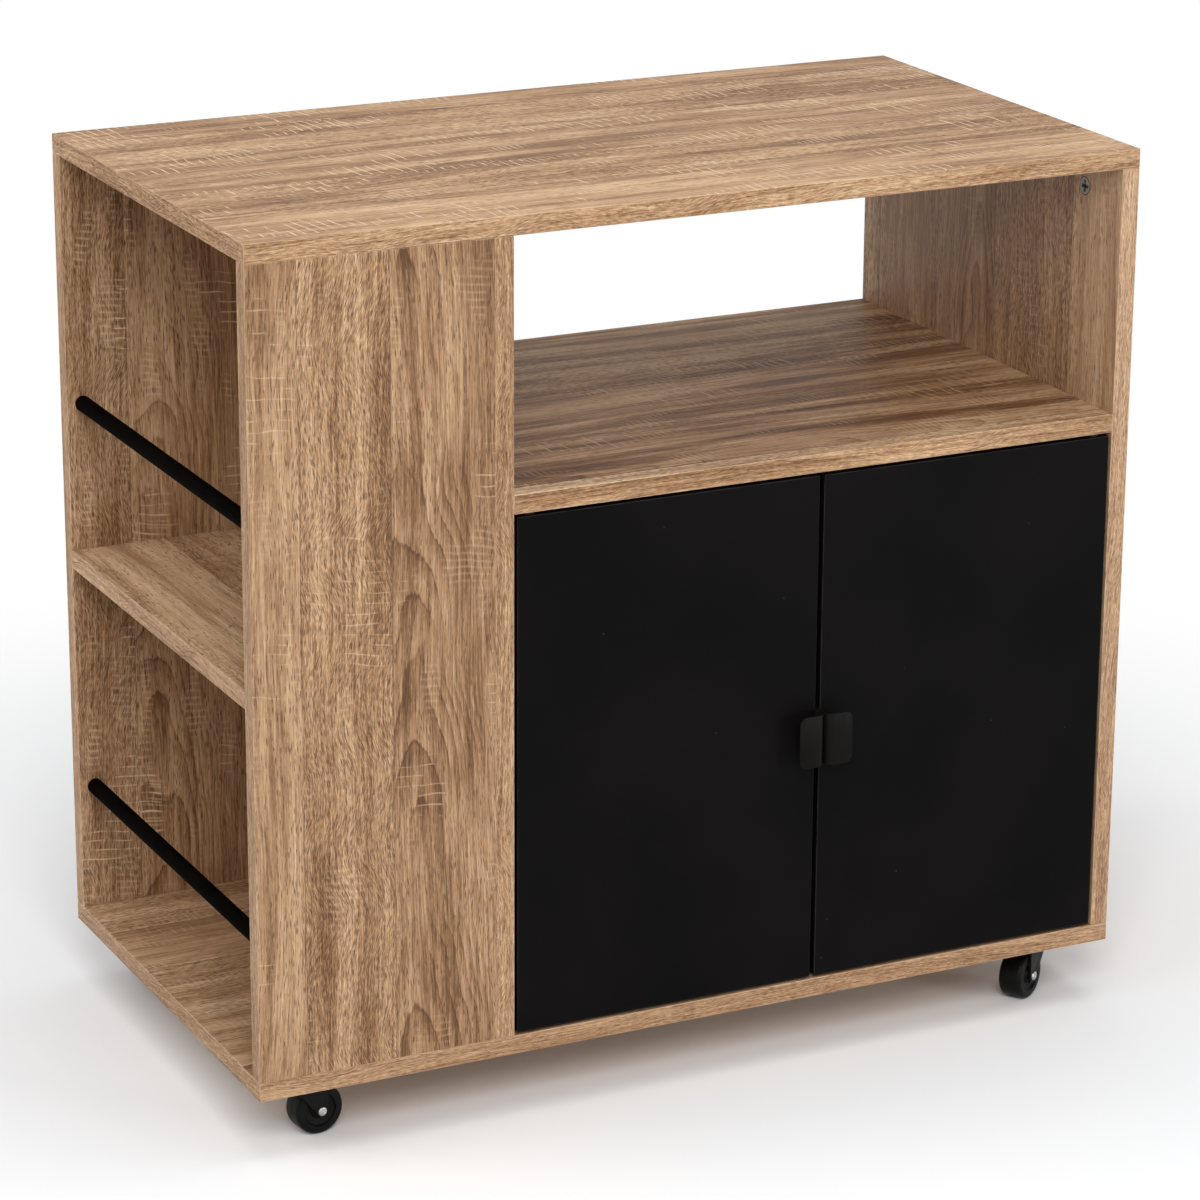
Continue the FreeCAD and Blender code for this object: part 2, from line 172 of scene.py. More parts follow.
# The camera stands where the photograph was taken from: in front of the cart, to its left and above
# it, with a long lens. Its place and turn were fitted to the corners of the boards in the photograph.
camera_place = (-1.4785, -3.0179, 1.4460)
camera_yaw = 0.4566
camera_pitch = 0.3187
camera_roll = 0.0057
focal_pixels = 4444.1
photo_side_pixels = 1200
sensor_width = 36.0

camera_data = bpy.data.cameras.new("photo_camera")
camera_data.sensor_width = sensor_width
camera_data.lens = focal_pixels * sensor_width / photo_side_pixels
camera_data.dof.use_dof = False
camera = bpy.data.objects.new("photo_camera", camera_data)
turn = Matrix.Rotation(-camera_yaw, 4, "Z")
tilt = Matrix.Rotation(math.pi / 2 - camera_pitch, 4, "X")
lean = Matrix.Rotation(camera_roll, 4, "Z")
camera.matrix_world = Matrix.Translation(camera_place) @ turn @ tilt @ lean
bpy.context.scene.collection.objects.link(camera)
bpy.context.scene.camera = camera
bpy.context.scene.view_settings.view_transform = "Standard"


# Nine boards of 15 mm chipboard, faced with an oak print whose planks, pores and saw marks are
# pressed lightly into it, and edged with strips of the same decor. Cams, dowels and screws hold them.
metre_in_mm = 1000.0
oak_shades = (
    (0.00, paint(93, 62, 40)),
    (0.25, paint(132, 97, 66)),
    (0.50, paint(168, 131, 97)),
    (0.75, paint(196, 161, 125)),
    (1.00, paint(218, 188, 152)),
)
pore_colour = paint(76, 52, 35)
saw_colour = paint(222, 194, 160)
seam_colour = paint(88, 62, 43)
grey_oak = paint(214, 219, 226)
# a highlight painted on the broken edges of the boards, and how strongly it is laid on
painted_highlight_oak = paint(214, 184, 156)
painted_highlight_share = 0.35
press_depth = 0.00012
press_strength = 0.6
squarely = 0.7
other_face_layer = 5.0
edge_strip_layer = 1.3
end_strip_layer = 2.6
log_length = 900.0
log_step = 57.0
arch_length = 58.0
arch_spread = 380.0
rung_spacing = 8.0
rung_slope = 0.13
comb_turns = 1.15
comb_strength = 0.45
# name, axis of the grain, axis of the thickness, place in the print, width of its planks in mm,
# shift of their seams, which figure the first plank has, how strong the saw marks and streaks are,
# how much painted light or shade lifts or darkens the board's faces, and how much its lacquer shines
oak_boards = (
    ("top_panel", 0, 2, 3.0, 92.0, 20.0, 0.30, 1.1, 1.00, -0.05, 0.12),
    ("bottom_panel", 0, 2, 17.0, 96.0, 55.0, 0.75, 0.6, 0.70, 0.14, 0.20),
    ("niche_shelf", 0, 2, 29.0, 104.0, 70.0, 0.10, 0.8, 1.65, 0.06, 0.14),
    ("cabinet_shelf", 0, 2, 41.0, 98.0, 10.0, 0.45, 0.6, 0.80, 0.00, 0.20),
    ("bay_shelf", 1, 2, 53.0, 84.0, 35.0, 0.60, 0.8, 0.90, 0.15, 0.20),
    ("right_panel", 2, 0, 67.0, 100.0, 15.0, 0.55, 0.3, 0.60, 0.09, 0.42),
    ("divider_panel", 2, 0, 79.0, 100.0, 60.0, 0.15, 0.6, 0.80, -0.12, 0.20),
    ("bay_front_board", 2, 1, 91.0, 76.0, 26.4, 0.20, 0.35, 0.75, -0.12, 0.22),
    ("bay_back_board", 2, 1, 103.0, 90.0, 42.0, 0.35, 0.8, 0.60, 0.09, 0.20),
)


def decor_noise(tree, place, across, along, detail, roughness=0.5):
    """Noise whose cells measure across by along, in millimetres."""
    size = (1 / across, 1 / along, 1.0)
    scaled = add(tree, "VectorMath", {0: place, 1: size}, operation="MULTIPLY").outputs[0]
    sockets = {"Vector": scaled, "Scale": 1.0, "Detail": detail, "Roughness": roughness}
    return add(tree, "TexNoise", sockets).outputs[0]


def swing(tree, noise, amount):
    """Noise as a plus or minus of that amount at most."""
    return reckon(tree, "MULTIPLY_ADD", noise, 2 * amount, -amount)


def total(tree, *parts):
    result = parts[0]
    for part in parts[1:]:
        result = reckon(tree, "ADD", result, part)
    return result


def product(tree, *parts):
    result = parts[0]
    for part in parts[1:]:
        result = reckon(tree, "MULTIPLY", result, part)
    return result


def start_group(name, inputs, outputs):
    group = bpy.data.node_groups.new(name, "ShaderNodeTree")
    for label, kind, value in inputs:
        socket = group.interface.new_socket(label, in_out="INPUT", socket_type="NodeSocket" + kind)
        socket.default_value = value
    for label, kind in outputs:
        group.interface.new_socket(label, in_out="OUTPUT", socket_type="NodeSocket" + kind)
    return group, group.nodes.new("NodeGroupInput").outputs


def end_group(group, results):
    out = group.nodes.new("NodeGroupOutput")
    for label, socket in results.items():
        group.links.new(socket, out.inputs[label])


def dashes(tree, place, across, along, reach, share):
    """Short strokes along the grain, one at most in each cell, in that share of the cells."""
    size = (1 / across, 1 / along, 1.0)
    scaled = add(tree, "VectorMath", {0: place, 1: size}, operation="MULTIPLY").outputs[0]
    cells = add(tree, "TexVoronoi", {"Vector": scaled, "Scale": 1.0, "Randomness": 0.9},
                voronoi_dimensions="2D").outputs
    drawn = add(tree, "SeparateColor", {0: cells["Color"]}).outputs
    chosen = reckon(tree, "LESS_THAN", drawn[0], share)
    stroke = ease(tree, cells["Distance"], reach * 0.6, reach * 1.3, 1.0, 0.0)
    return product(tree, stroke, chosen, reckon(tree, "MULTIPLY_ADD", drawn[1], 0.6, 0.4))


def build_oak_decor():
    inputs = (
        ("Place", "Vector", (0.0, 0.0, 0.0)),
        ("Plank Width", "Float", 100.0),
        ("Plank Shift", "Float", 0.0),
        ("Figure", "Float", 0.0),
        ("Saw Marks", "Float", 0.6),
        ("Streaks", "Float", 0.5),
        ("Painted Light And Shade", "Float", 0.0),
        ("Seams", "Float", 1.0),
    )
    outputs = (("Color", "Color"), ("Roughness", "Float"), ("Height", "Float"))
    group, given = start_group("oak_decor", inputs, outputs)
    apart = add(group, "SeparateXYZ", {0: given["Place"]}).outputs
    across = reckon(group, "MULTIPLY", apart[0], metre_in_mm)
    along = reckon(group, "MULTIPLY", apart[1], metre_in_mm)
    layer = apart[2]

    # The planks of the print: each has its own tone, its own stretch of the log and its own lean
    shifted = reckon(group, "ADD", across, given["Plank Shift"])
    steps = reckon(group, "DIVIDE", shifted, given["Plank Width"])
    wave = reckon(group, "SINE", reckon(group, "MULTIPLY_ADD", steps, 2.3, layer))
    uneven = reckon(group, "MULTIPLY_ADD", wave, 0.08, steps)
    number = reckon(group, "FLOOR", uneven)
    inside = reckon(group, "FRACT", uneven)
    nearer = reckon(group, "MINIMUM", inside, reckon(group, "SUBTRACT", 1.0, inside))
    to_seam = reckon(group, "MULTIPLY", nearer, given["Plank Width"])
    draw = add(group, "TexWhiteNoise", {"W": reckon(group, "ADD", number, layer)},
               noise_dimensions="1D").outputs["Color"]
    chance = add(group, "SeparateColor", {0: draw}).outputs
    leaned = reckon(group, "MULTIPLY_ADD", along, swing(group, chance[1], 0.03), across)
    down_log = total(group, along, product(group, chance[2], log_length), product(group, layer, log_step))
    log_layer = reckon(group, "MULTIPLY_ADD", chance[0], 40.0, layer)
    straight = add(group, "CombineXYZ", {0: leaned, 1: down_log, 2: log_layer}).outputs[0]
    drift = swing(group, decor_noise(group, straight, 110.0, 400.0, 1.0), 17.0)
    wander = reckon(group, "ADD", leaned, drift)
    grain = add(group, "CombineXYZ", {0: wander, 1: down_log, 2: log_layer}).outputs[0]

    # Three figures take turns: plain lines, long arches and a dense short fleck
    figure = reckon(group, "FRACT", reckon(group, "MULTIPLY_ADD", number, 0.618, given["Figure"]))
    flecked = ease(group, figure, 0.58, 0.62)
    flecked = reckon(group, "MAXIMUM", flecked, reckon(group, "SUBTRACT", 0.7, given["Seams"]))
    arched = product(group, ease(group, figure, 0.28, 0.32), ease(group, figure, 0.58, 0.62, 1.0, 0.0),
                     given["Seams"])

    # Short strokes lean now one way, now the other, most of all in the fleck
    slant = product(group, swing(group, decor_noise(group, straight, 130.0, 60.0, 0.0), 14.0),
                    reckon(group, "MULTIPLY_ADD", flecked, 0.75, 0.25))
    leant = total(group, wander, slant)
    leaning = add(group, "CombineXYZ", {0: leant, 1: down_log, 2: log_layer}).outputs[0]

    # Growth rings show as nested arches about a line in the plank
    from_heart = product(group, reckon(group, "SUBTRACT", inside, swing(group, chance[1], 0.3)),
                         given["Plank Width"])
    heart_drift = swing(group, decor_noise(group, straight, 60.0, 110.0, 1.0), 16.0)
    from_heart = total(group, from_heart, heart_drift)
    arches = total(
        group,
        reckon(group, "DIVIDE", down_log, arch_length),
        reckon(group, "DIVIDE", product(group, from_heart, from_heart), arch_spread),
        swing(group, decor_noise(group, straight, 45.0, 85.0, 1.0), 1.3),
        swing(group, decor_noise(group, grain, 2.0, 18.0, 1.0), 0.1),
    )
    arch_cycle = reckon(group, "FRACT", arches)
    arch = reckon(group, "SUBTRACT", ease(group, arch_cycle, 0.15, 0.9),
                  ease(group, arch_cycle, 0.93, 1.0))
    arch_line = reckon(group, "SUBTRACT", ease(group, arch_cycle, 0.84, 0.93),
                       ease(group, arch_cycle, 0.95, 1.0))
    near_heart = ease(group, reckon(group, "ABSOLUTE", from_heart), 26.0, 62.0, 1.0, 0.25)
    arch_stretch = ease(group, decor_noise(group, straight, 200.0, 130.0, 0.0), 0.36, 0.56, 0.25, 1.0)
    arch_shade = product(group, total(group, product(group, arch, 0.2), product(group, arch_line, 0.15)),
                         near_heart, arch_stretch, arched)

    # Streaks, fibres and flecks along the grain, and bands and clouds, both fainter on the edge strips
    wide = reckon(group, "MULTIPLY_ADD", given["Seams"], 0.55, 0.45)
    band = decor_noise(group, grain, 21.0, 400.0, 3.0, 0.62)
    streak = decor_noise(group, grain, 3.0, 120.0, 2.0, 0.6)
    fibre = decor_noise(group, grain, 0.95, 26.0, 2.0, 0.6)
    short = decor_noise(group, leaning, 0.75, 5.0, 2.0, 0.65)
    cloud = decor_noise(group, straight, 28.0, 170.0, 2.0, 0.55)
    tone = total(
        group,
        0.5,
        # the board's painted light or shade, on its faces only
        product(group, given["Painted Light And Shade"], given["Seams"]),
        product(group, ease(group, band, 0.38, 0.6, -0.16, 0.15), given["Streaks"], wide),
        swing(group, streak, 0.3),
        swing(group, fibre, 0.44),
        product(group, swing(group, short, 0.62), reckon(group, "MULTIPLY_ADD", flecked, 0.6, 0.4)),
        product(group, swing(group, cloud, 0.3), given["Streaks"], wide),
        product(group, swing(group, chance[0], 0.12), given["Seams"]),
        product(group, arch_shade, -1.0),
    )
    ramp = add(group, "ValToRGB", {0: tone})
    ramp.color_ramp.elements[0].position = oak_shades[0][0]
    ramp.color_ramp.elements[0].color = oak_shades[0][1]
    ramp.color_ramp.elements[1].position = oak_shades[-1][0]
    ramp.color_ramp.elements[1].color = oak_shades[-1][1]
    for position, colour in oak_shades[1:-1]:
        ramp.color_ramp.elements.new(position).color = colour
    greyed = product(group, ease(group, chance[2], 0.4, 1.0), 0.13)
    colour = tint(group, greyed, ramp.outputs[0], grey_oak, "MULTIPLY")

    # Saw marks: pale lines across the grain, like the rungs of a ladder or the teeth of a comb
    height_on_rungs = total(group, along, product(group, across, rung_slope),
                            swing(group, decor_noise(group, straight, 30.0, 40.0, 1.0), 4.0))
    rungs = reckon(group, "DIVIDE", height_on_rungs, rung_spacing)
    rung = reckon(group, "ABSOLUTE", reckon(group, "SUBTRACT", reckon(group, "FRACT", rungs), 0.5))
    rung_line = ease(group, rung, 0.02, 0.11, 1.0, 0.0)
    rung_number = reckon(group, "FLOOR", rungs)
    rung_place = add(group, "CombineXYZ", {0: across, 1: rung_number, 2: layer}).outputs[0]
    rung_reach = ease(group, decor_noise(group, rung_place, 34.0, 0.5, 1.0), 0.44, 0.53)
    rung_patch = total(group, decor_noise(group, straight, 46.0, 110.0, 1.0),
                       ease(group, to_seam, 4.0, 30.0, 0.06, 0.0))
    combs = reckon(group, "SINE", reckon(group, "MULTIPLY", height_on_rungs, comb_turns))
    comb_patch = ease(group, decor_noise(group, straight, 24.0, 70.0, 1.0), 0.58, 0.72)
    patch_edge = reckon(group, "MULTIPLY_ADD", given["Saw Marks"], -0.1, 0.655)
    rung_here = ease(group, rung_patch, patch_edge, total(group, patch_edge, 0.08))
    saw = total(
        group,
        product(group, rung_line, rung_reach, rung_here),
        product(group, ease(group, combs, 0.0, 1.0), comb_patch, comb_strength),
    )
    saw = product(group, saw, given["Saw Marks"], given["Seams"])
    colour = tint(group, saw, colour, saw_colour)

    # Pores: short dark dashes, dense in the fleck and beside the seams, and a few long fine cracks
    crowd = total(group, 0.13, product(group, flecked, 0.26), ease(group, to_seam, 0.0, 16.0, 0.22, 0.0),
                  swing(group, cloud, 0.45))
    pore = dashes(group, leaning, 1.0, 8.0, 0.38, crowd)
    crack = dashes(group, leaning, 1.5, 56.0, 0.28, reckon(group, "MULTIPLY_ADD", flecked, -0.07, 0.1))
    pore_strength = reckon(group, "MULTIPLY_ADD", given["Seams"], 0.35, 0.5)
    colour = tint(group, product(group, pore, pore_strength), colour, pore_colour)
    colour = tint(group, product(group, crack, 0.75), colour, pore_colour)

    # The joint between two planks of the print is a fine dark line, fainter here and there
    joint_strength = ease(group, decor_noise(group, straight, 50.0, 60.0, 1.0), 0.35, 0.6, 0.15, 0.6)
    joint_line = product(group, ease(group, to_seam, 0.25, 0.8, 1.0, 0.0), joint_strength, given["Seams"])
    colour = tint(group, joint_line, colour, seam_colour)

    roughness = total(group, 0.52, product(group, pore, 0.12), swing(group, streak, 0.08))
    relief = total(
        group,
        product(group, pore, -0.8),
        product(group, short, 0.4),
        product(group, saw, 0.25),
        product(group, joint_line, -0.8),
    )
    end_group(group, {"Color": colour, "Roughness": roughness, "Height": relief})
    return group


def build_chamfer_mask():
    """Marks the narrow sloping faces along the edges of a board, whose normals lie on no axis."""
    inputs = (("Normal", "Vector", (0.0, 0.0, 1.0)), ("Place", "Vector", (0.0, 0.0, 0.0)))
    group, given = start_group("painted_edge_mask", inputs, (("Mask", "Float"),))
    parts = add(group, "SeparateXYZ", {0: given["Normal"]}).outputs
    sizes = [reckon(group, "ABSOLUTE", parts[axis]) for axis in range(3)]
    largest = reckon(group, "MAXIMUM", reckon(group, "MAXIMUM", sizes[0], sizes[1]), sizes[2])
    slope = ease(group, largest, 0.8, 0.96, 1.0, 0.0)
    # patches along the edges where the finishes paint a highlight (boards, doors) and shade (cams)
    painted_edge_light_and_shade = mottle(group, given["Place"], 60.0, 3.0)
    end_group(group, {"Mask": product(group, slope, ease(group, painted_edge_light_and_shade, 0.3, 0.65, 0.4, 1.0))})
    return group


def start_finish(name, **sockets):
    """A material with a Principled shader whose even values are set on its own sockets."""
    finish = bpy.data.materials.new(name)
    finish.use_nodes = True
    tree = finish.node_tree
    tree.nodes.clear()
    values = {key.replace("_", " "): value for key, value in sockets.items()}
    shader = add(tree, "BsdfPrincipled", values)
    add(tree, "OutputMaterial", {"Surface": shader.outputs[0]})
    return finish, tree, shader


def feed(tree, shader, colour, roughness, height, depth, strength):
    """Links colour and roughness to the shader, and the height as a relief that deep in metres."""
    tree.links.new(colour, shader.inputs["Base Color"])
    tree.links.new(roughness, shader.inputs["Roughness"])
    sockets = {"Height": height, "Distance": depth, "Strength": strength}
    tree.links.new(add(tree, "Bump", sockets).outputs[0], shader.inputs["Normal"])


def edge_mask(tree, spots):
    """The mask of the broken edges in a material, from its texture coordinates."""
    sockets = {"Normal": spots["Normal"], "Place": spots["Object"]}
    return add(tree, "Group", sockets, node_tree=chamfer_mask).outputs["Mask"]


def coat(node_name, finish):
    cart_nodes[node_name].material_slots[0].material = finish


def oak_finish(board, grain, thickness, layer, plank, shift, figure, saw_marks, streaks, tone, sheen):
    """The decor laid on one board: along its grain on the faces, along each strip on the edges."""
    finish, tree, shader = start_finish("oak_" + board, Specular_IOR_Level=sheen)
    spots = add(tree, "TexCoord").outputs
    place = add(tree, "SeparateXYZ", {0: spots["Object"]}).outputs
    facing = add(tree, "SeparateXYZ", {0: spots["Normal"]}).outputs
    width = 3 - grain - thickness
    is_end = reckon(tree, "GREATER_THAN", reckon(tree, "ABSOLUTE", facing[grain]), squarely)
    is_face = reckon(tree, "GREATER_THAN", reckon(tree, "ABSOLUTE", facing[thickness]), squarely)
    side = reckon(tree, "GREATER_THAN", facing[thickness], 0.0)
    face_layer = reckon(tree, "MULTIPLY_ADD", side, other_face_layer, layer)
    edge_layer, end_layer = layer + edge_strip_layer, layer + end_strip_layer
    on_face = add(tree, "CombineXYZ", {0: place[width], 1: place[grain], 2: face_layer}).outputs[0]
    on_edge = add(tree, "CombineXYZ", {0: place[thickness], 1: place[grain], 2: edge_layer}).outputs[0]
    on_end = add(tree, "CombineXYZ", {0: place[thickness], 1: place[width], 2: end_layer}).outputs[0]
    edges = add(tree, "Mix", {0: is_end, 4: on_edge, 5: on_end}, data_type="VECTOR").outputs[1]
    laid = add(tree, "Mix", {0: is_face, 4: edges, 5: on_face}, data_type="VECTOR").outputs[1]
    sockets = {
        "Place": laid,
        "Plank Width": plank,
        "Plank Shift": shift,
        "Figure": figure,
        "Saw Marks": saw_marks,
        "Streaks": streaks,
        "Painted Light And Shade": tone,
        "Seams": is_face,
    }
    decor = add(tree, "Group", sockets, node_tree=oak_decor).outputs
    # the broken edges of the board get a painted highlight
    painted_edge_light_and_shade = product(tree, edge_mask(tree, spots), painted_highlight_share)
    colour = tint(tree, painted_edge_light_and_shade, decor["Color"], painted_highlight_oak)
    feed(tree, shader, colour, decor["Roughness"], decor["Height"], press_depth, press_strength)
    return finish


oak_decor = build_oak_decor()
chamfer_mask = build_chamfer_mask()
for board_facts in oak_boards:
    coat(board_facts[0], oak_finish(*board_facts))


# The back of the cabinet is a thin hardboard sheet that slides in grooves in the boards. Its faces
# are lacquered brown, with the fine felted fibres of pressed wood under the lacquer.
def hardboard_finish():
    finish, tree, shader = start_finish("lacquered_hardboard", Specular_IOR_Level=0.3)
    place = add(tree, "TexCoord").outputs["Object"]
    felt = mottle(tree, place, 420.0, 4.0)
    cloud = mottle(tree, place, 9.0, 3.0)
    brown = tint(tree, ease(tree, cloud, 0.3, 0.7), paint(127, 100, 76), paint(139, 110, 85))
    colour = tint(tree, ease(tree, felt, 0.55, 0.75, 0.0, 0.6), brown, paint(92, 68, 49))
    feed(tree, shader, colour, ease(tree, felt, 0.2, 0.8, 0.5, 0.72), felt, 0.0002, 0.5)
    return finish


coat("cabinet_back", hardboard_finish())


# Both doors are chipboard in matt black melamine with black edge strips. The face is pressed with a
# fine pearl and holds a little dust, and a highlight is painted where the edges of the strips are broken.
def black_board_finish():
    finish, tree, shader = start_finish("black_melamine", Specular_IOR_Level=0.025)
    spots = add(tree, "TexCoord").outputs
    place = spots["Object"]
    pearl = mottle(tree, place, 900.0, 2.0)
    cloud = mottle(tree, place, 7.0, 3.0)
    dust = add(tree, "TexVoronoi", {"Vector": place, "Scale": 46.0}).outputs["Distance"]
    speck = ease(tree, dust, 0.012, 0.03, 1.0, 0.0)
    black = tint(tree, ease(tree, cloud, 0.3, 0.7), paint(12, 11, 11), paint(17, 15, 15))
    black = tint(tree, product(tree, speck, 0.5), black, paint(92, 88, 84))
    # a painted highlight along the broken edges of the strips
    painted_edge_highlight = product(tree, edge_mask(tree, spots), 0.45)
    colour = tint(tree, painted_edge_highlight, black, paint(66, 61, 57))
    rough = total(tree, 0.5, swing(tree, cloud, 0.08), swing(tree, pearl, 0.06))
    feed(tree, shader, colour, rough, pearl, 0.00004, 0.5)
    return finish


black_board = black_board_finish()
for door in ("left_door", "right_door"):
    coat(door, black_board)


# Two 12.7 mm steel rods cross the side bay and hold towels, seated in blind holes in its two boards.
# They are powder coated black, with the fine orange peel that the powder leaves when it is baked.
def powder_coat(name, low, high, specular):
    finish, tree, shader = start_finish(name, Specular_IOR_Level=specular)
    place = add(tree, "TexCoord").outputs["Object"]
    peel = mottle(tree, place, 750.0, 2.0)
    cloud = mottle(tree, place, 26.0, 3.0)
    colour = tint(tree, ease(tree, cloud, 0.3, 0.7), low, high)
    rough = total(tree, 0.42, swing(tree, cloud, 0.1), swing(tree, peel, 0.05))
    feed(tree, shader, colour, rough, peel, 0.00006, 0.6)
    return finish


rod_coat = powder_coat("black_powder_coat", paint(8, 6, 5), paint(12, 10, 8), 0.001)
for rod in ("upper_rod", "lower_rod"):
    coat(rod, rod_coat)


# Each door is opened by a tab of 1.2 mm sheet steel bent round its meeting edge and held by two pan
# head screws behind the door. The sheet's rims are tumbled round before it is powder coated.
pull_rim = 0.00035
pull_screw_offset = 0.012
pull_screw_from_meeting = 0.012
screw_head_radius = 0.0031
screw_head_height = 0.0019
screw_crown = screw_head_height * 0.72
screw_seat_width = screw_head_radius * 0.42
screw_shank_length = screw_head_height * 0.4
screw_recess_reach = 0.0019
screw_recess_width = 0.0007
screw_recess_depth = 0.0012
screw_recess_taper = 0.6
first_screw_turn = 11.0
screw_turn_step = 37.0
merge_distance = 0.000002
flat_angle = math.radians(1.0)
rim_angle = math.radians(32.0)
rim_smooth_angle = math.radians(34.0)
facing_share = 0.9


def rounded_copy(node_name, name, body, finish, rim, segments=2):
    """A copy of a CAD node with its triangles merged and its edges rounded, in that node's stead."""
    piece = bpy.data.objects.new(name, cart_nodes[node_name].data.copy())
    bpy.context.scene.collection.objects.link(piece)
    bpy.ops.object.select_all(action="DESELECT")
    piece.select_set(True)
    bpy.context.view_layer.objects.active = piece
    bpy.ops.object.mode_set(mode="EDIT")
    bpy.ops.mesh.select_all(action="SELECT")
    bpy.ops.mesh.customdata_custom_splitnormals_clear()
    bpy.ops.mesh.remove_doubles(threshold=merge_distance)
    bpy.ops.mesh.dissolve_limited(angle_limit=flat_angle)
    bpy.ops.object.mode_set(mode="OBJECT")
    bevel = piece.modifiers.new("rims", "BEVEL")
    bevel.width = rim
    bevel.segments = segments
    bevel.limit_method = "ANGLE"
    bevel.angle_limit = rim_angle
    bpy.ops.object.modifier_apply(modifier=bevel.name)
    bpy.ops.object.shade_smooth_by_angle(angle=rim_smooth_angle)
    piece.data.materials.clear()
    piece.data.materials.append(finish)
    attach(piece, body)
    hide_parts(node_name)


def select_faces(test):
    """Selects the faces of the mesh in edit mode that pass the test."""
    bpy.ops.mesh.select_mode(type="FACE")
    bpy.ops.mesh.select_all(action="DESELECT")
    mesh = bmesh.from_edit_mesh(bpy.context.object.data)
    for face in mesh.faces:
        face.select_set(test(face))
    bmesh.update_edit_mesh(bpy.context.object.data)


def zinc_finish(name, low, high, rough):
    finish, tree, shader = start_finish(name, Metallic=1.0)
    place = add(tree, "TexCoord").outputs["Object"]
    cloud = mottle(tree, place, 130.0, 4.0)
    fine = mottle(tree, place, 1500.0, 2.0)
    colour = tint(tree, ease(tree, cloud, 0.3, 0.7), low, high)
    roughness = total(tree, rough, swing(tree, cloud, 0.1), swing(tree, fine, 0.05))
    feed(tree, shader, colour, roughness, fine, 0.00003, 0.5)
    return finish


def model_screw():
    """A pan head with a cross recess and a short shank, its seat at the origin, facing up."""
    bpy.ops.object.select_all(action="DESELECT")
    middle = (0.0, 0.0, screw_head_height / 2)
    bpy.ops.mesh.primitive_cylinder_add(vertices=28, radius=screw_head_radius, depth=screw_head_height,
                                        location=middle)
    screw = bpy.context.object
    bpy.ops.object.transform_apply(location=True)
    bpy.ops.object.mode_set(mode="EDIT")
    select_faces(lambda face: face.normal.z > facing_share)
    bpy.ops.mesh.bevel(offset=screw_crown, segments=5, affect="EDGES")
    select_faces(lambda face: face.normal.z < -facing_share)
    bpy.ops.mesh.inset(thickness=screw_seat_width)
    bpy.ops.mesh.extrude_region_move(TRANSFORM_OT_translate={"value": (0.0, 0.0, -screw_shank_length)})
    bpy.ops.object.mode_set(mode="OBJECT")
    for turned in (False, True):
        long_side, short_side = screw_recess_reach * 2, screw_recess_width
        size = (short_side, long_side) if turned else (long_side, short_side)
        bpy.ops.mesh.primitive_cube_add(size=1.0, location=(0.0, 0.0, screw_head_height))
        cutter = bpy.context.object
        cutter.scale = (size[0], size[1], screw_recess_depth * 2)
        bpy.ops.object.transform_apply(location=True, scale=True)
        bpy.ops.object.mode_set(mode="EDIT")
        select_faces(lambda face: face.normal.z < -facing_share)
        taper = (screw_recess_taper, screw_recess_taper, 1.0)
        bpy.ops.transform.resize(value=taper, center_override=(0.0, 0.0, 0.0))
        bpy.ops.object.mode_set(mode="OBJECT")
        bpy.ops.object.select_all(action="DESELECT")
        bpy.context.view_layer.objects.active = screw
        recess = screw.modifiers.new("recess", "BOOLEAN")
        recess.operation = "DIFFERENCE"
        recess.solver = "EXACT"
        recess.object = cutter
        bpy.ops.object.modifier_apply(modifier=recess.name)
        bpy.data.objects.remove(cutter)
    screw.select_set(True)
    bpy.ops.object.shade_smooth_by_angle(angle=math.radians(30.0))
    return screw


def drive_screws(name, body, finish, seats, facing):
    """Copies of the screw, each on its seat with its own turn, joined into one piece."""
    upright = Vector((0.0, 0.0, 1.0)).rotation_difference(Vector(facing)).to_matrix().to_4x4()
    driven = []
    for count, seat in enumerate(seats):
        twist = Matrix.Rotation(math.radians(screw_turn_step * count + first_screw_turn), 4, "Z")
        copy = bpy.data.objects.new(name, screw_model.data.copy())
        copy.data.transform(Matrix.Translation(seat) @ upright @ twist)
        bpy.context.scene.collection.objects.link(copy)
        driven.append(copy)
    bpy.ops.object.select_all(action="DESELECT")
    for copy in driven:
        copy.select_set(True)
    bpy.context.view_layer.objects.active = driven[0]
    if len(driven) > 1:
        bpy.ops.object.join()
    driven[0].name = name
    driven[0].data.materials.append(finish)
    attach(driven[0], body)


screw_model = model_screw()
black_screw = powder_coat("black_screw_finish", paint(19, 19, 19), paint(30, 29, 28), 0.3)
bright_zinc = zinc_finish("bright_zinc", paint(176, 178, 178), paint(205, 206, 204), 0.34)
pull_coat = powder_coat("pull_powder_coat", paint(14, 13, 12), paint(21, 19, 18), 0.05)
for hand, way in (("left", -1), ("right", 1)):
    pull = hand + "_pull"
    leaf = hand + "_leaf"
    rounded_copy(pull, pull + "_tab", leaf, pull_coat, pull_rim)
    low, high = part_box(pull)
    meeting = low.x if way > 0 else high.x
    seat_x = meeting + way * pull_screw_from_meeting
    seats = [(seat_x, high.y, (low.z + high.z) / 2 + lift)
             for lift in (-pull_screw_offset, pull_screw_offset)]
    drive_screws(pull + "_screws", leaf, bright_zinc, seats, (0.0, 1.0, 0.0))


# The doors are held shut by a twin magnet in a black moulded case, screwed up into the niche shelf,
# and by a thin zinc plated strike screwed to the back of each door.
catch_screw_from_end = 0.0045
catch_rim = 0.0003
strike_rim = 0.0002


def moulded_black(name, low, high, rough, specular):
    finish, tree, shader = start_finish(name, Specular_IOR_Level=specular)
    place = add(tree, "TexCoord").outputs["Object"]
    spark = mottle(tree, place, 1400.0, 2.0)
    cloud = mottle(tree, place, 55.0, 4.0)
    colour = tint(tree, ease(tree, cloud, 0.3, 0.7), low, high)
    roughness = total(tree, rough, swing(tree, cloud, 0.12), swing(tree, spark, 0.06))
    feed(tree, shader, colour, roughness, spark, 0.00004, 0.5)
    return finish


